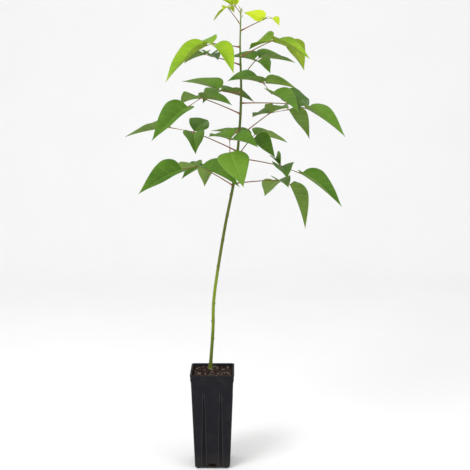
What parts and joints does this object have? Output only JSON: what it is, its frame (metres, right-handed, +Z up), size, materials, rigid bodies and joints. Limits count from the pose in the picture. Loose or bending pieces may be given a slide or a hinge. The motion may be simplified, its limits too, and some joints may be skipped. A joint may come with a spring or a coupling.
{
  "type": "young cockspur coral tree in a square nursery pot",
  "caption": "Coral tree sapling with one slender leaning stem and long-stalked three-part leaves, in a tall tapered black square nursery pot filled with soil.",
  "frame": {"origin": "middle of the pot's underside, in the plane of its feet", "axes": "+Z up along the pot and the stem, -Y towards the front face shown in the picture, +X to its right"},
  "size_m": [0.4344, 0.3473, 0.9534],
  "materials": {
    "pot": "moulded black polypropylene, slightly satin",
    "soil": "damp dark brown bark and fibre potting mix",
    "stem": "green young bark with leaf scars",
    "stalk": "smooth reddish brown leaf stalk",
    "leaf": "soft satin mid green leaf",
    "upper_leaf": "soft satin lime green leaf",
    "young_leaf": "soft satin yellow green young leaf"
  },
  "bodies": {
    "root": {"pot": "pot", "soil": "soil", "stem": "stem", "stalk_01": "stalk", "stalk_02": "stalk", "stalk_03": "stalk", "stalk_04": "stalk", "stalk_05": "stalk", "stalk_06": "stalk", "stalk_07": "stalk", "stalk_08": "stalk", "stalk_09": "stalk", "stalk_10": "stalk", "stalk_11": "stalk", "stalk_12": "stalk", "stalk_13": "stalk", "stalk_14": "stalk", "stalk_15": "stalk", "stalk_16": "stalk", "stalk_17": "stalk", "stalk_18": "stalk", "stalk_19": "stalk", "leaf_01": "leaf", "leaf_02": "leaf", "leaf_03": "leaf", "leaf_04": "leaf", "leaf_05": "leaf", "leaf_06": "leaf", "leaf_07": "leaf", "leaf_08": "leaf", "leaf_09": "leaf", "leaf_10": "leaf", "leaf_11": "leaf", "leaf_12": "leaf", "leaf_13": "leaf", "leaf_14": "leaf", "leaf_15": "upper_leaf", "leaf_16": "upper_leaf", "leaf_17": "young_leaf", "leaf_18": "young_leaf", "leaf_19": "young_leaf"}
  },
  "joints": []
}
